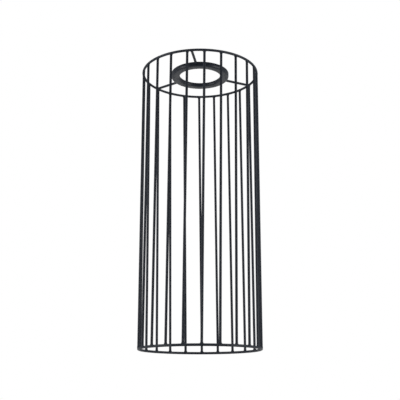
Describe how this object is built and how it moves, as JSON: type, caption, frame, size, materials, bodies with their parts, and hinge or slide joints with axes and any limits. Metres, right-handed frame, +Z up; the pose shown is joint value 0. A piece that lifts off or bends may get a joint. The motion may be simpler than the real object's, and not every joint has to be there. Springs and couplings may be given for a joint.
{
  "type": "lampshade",
  "caption": "Straight cylindrical wire-cage lampshade: equal end rings joined by upright wires, with a spoked channel plate at the top that takes a screw-ring lampholder.",
  "frame": {"origin": "centre of the lower ring's footprint, on the surface that it stands on", "axes": "+Z up along the cage's axis towards the lampholder plate, -Y towards the front"},
  "size_m": [0.12, 0.1204, 0.2852],
  "materials": {
    "powder_coat": "satin powder coat, near black"
  },
  "bodies": {
    "root": {"bottom_ring": "powder_coat", "top_ring": "powder_coat", "lampholder_plate": "powder_coat", "spoke_1": "powder_coat", "spoke_2": "powder_coat", "spoke_3": "powder_coat", "upright_01": "powder_coat", "upright_02": "powder_coat", "upright_03": "powder_coat", "upright_04": "powder_coat", "upright_05": "powder_coat", "upright_06": "powder_coat", "upright_07": "powder_coat", "upright_08": "powder_coat", "upright_09": "powder_coat", "upright_10": "powder_coat", "upright_11": "powder_coat", "upright_12": "powder_coat", "upright_13": "powder_coat", "upright_14": "powder_coat", "upright_15": "powder_coat", "upright_16": "powder_coat", "upright_17": "powder_coat", "upright_18": "powder_coat", "upright_19": "powder_coat", "upright_20": "powder_coat", "upright_21": "powder_coat", "upright_22": "powder_coat"}
  },
  "joints": []
}
